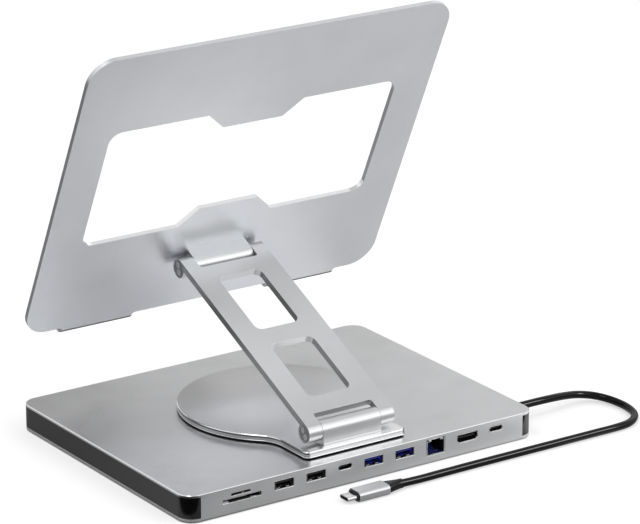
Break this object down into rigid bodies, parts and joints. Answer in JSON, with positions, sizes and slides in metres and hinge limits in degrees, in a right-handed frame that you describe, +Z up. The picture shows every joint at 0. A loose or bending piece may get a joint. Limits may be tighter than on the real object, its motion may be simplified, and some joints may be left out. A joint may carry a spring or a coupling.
{
  "type": "laptop docking station",
  "caption": "Flat port hub with a swivelling, folding two-hinge laptop stand on top and a captive plug-ended cord.",
  "frame": {"origin": "middle of the footprint of the stand and hub (cord left out) on the surface that it stands on", "axes": "+Z up, +X along the hub's long side to the cord's end, -Y out of the port side, the holder's front faces +Y"},
  "size_m": [0.3148, 0.2209, 0.2453],
  "materials": {
    "hub_aluminium": "bead-blasted anodised silver",
    "bottom_aluminium": "bead-blasted anodised silver",
    "end_cap_plastic": "satin black moulded",
    "foot_rubber": "matte black",
    "steel_hardware": "turned",
    "circuit_board": "solder mask",
    "chip_plastic": "matte",
    "header_plastic": "matte",
    "socket_shell": "plated sheet",
    "socket_black": "moulded",
    "socket_blue": "moulded",
    "socket_navy": "moulded",
    "gold_contact": "plated",
    "relief_rubber": "satin",
    "cord_jacket": "smooth jacket",
    "plug_aluminium": "anodised silver",
    "plug_black": "moulded",
    "plug_steel": "deep drawn",
    "bearing_polymer": "self-lubricating polymer",
    "bronze": "sintered",
    "turntable_aluminium": "bead-blasted anodised silver",
    "bracket_aluminium": "anodised silver, extruded",
    "arm_aluminium": "anodised silver",
    "cap_anodised": "dark anodised",
    "cap_screw_steel": "bright",
    "plate_aluminium": "bead-blasted anodised silver sheet",
    "pad_silicone": "matte silicone"
  },
  "bodies": {
    "base": {"hub_shell": "hub_aluminium", "hub_bottom": "bottom_aluminium", "end_cap_left": "end_cap_plastic", "end_cap_right": "end_cap_plastic", "cap_screws": "steel_hardware", "feet": "foot_rubber", "bottom_screws": "steel_hardware", "mainboard": "circuit_board", "cord_header": "header_plastic", "board_chips": "chip_plastic", "board_screws": "steel_hardware", "usb_a_shells": "socket_shell", "usb_a_tongues_black": "socket_black", "usb_a_tongues_blue": "socket_blue", "usb_a_contacts": "gold_contact", "usb_c_shells": "socket_shell", "usb_c_tongues": "socket_black", "hdmi_shell": "socket_shell", "hdmi_tongue": "socket_black", "ethernet_shell": "socket_shell", "ethernet_insert": "socket_navy", "ethernet_contacts": "gold_contact", "card_reader": "socket_black", "card_reader_cover": "socket_shell", "cord_gland": "relief_rubber", "cord": "cord_jacket", "plug_relief": "relief_rubber", "plug_shell": "plug_aluminium", "plug_insert": "plug_black", "plug_tip": "plug_steel", "plug_tongue": "plug_black", "pivot_bushing": "bearing_polymer", "slip_ring": "bearing_polymer"},
    "turntable": {"pivot_bolt": "steel_hardware", "pivot_washer": "steel_hardware", "pivot_nut": "steel_hardware", "turntable": "turntable_aluminium", "lower_bracket": "bracket_aluminium", "lower_bracket_screws": "steel_hardware", "lower_bushings": "bronze"},
    "arm": {"lower_pins": "steel_hardware", "arm": "arm_aluminium", "barrel_caps": "cap_anodised", "barrel_cap_screws": "cap_screw_steel", "upper_pins": "steel_hardware"},
    "holder": {"upper_bushings": "bronze", "upper_bracket": "bracket_aluminium", "upper_bracket_screws": "steel_hardware", "holder_plate": "plate_aluminium", "plate_pads": "pad_silicone", "lip_pads": "pad_silicone"}
  },
  "joints": [
    {"name": "base_swivel", "type": "hinge", "parent": "base", "child": "turntable", "pos_m": [0, -0.00651, 0.018], "axis": [0, 0, 1], "continuous": true},
    {"name": "arm_hinge", "type": "hinge", "parent": "turntable", "child": "arm", "pos_m": [0, -0.07751, 0.0284], "axis": [1, 0, 0], "range_deg": [-10, 45]},
    {"name": "plate_tilt", "type": "hinge", "parent": "arm", "child": "holder", "pos_m": [0, 0.05436, 0.08989], "axis": [1, 0, 0], "range_deg": [-45, 80]}
  ]
}
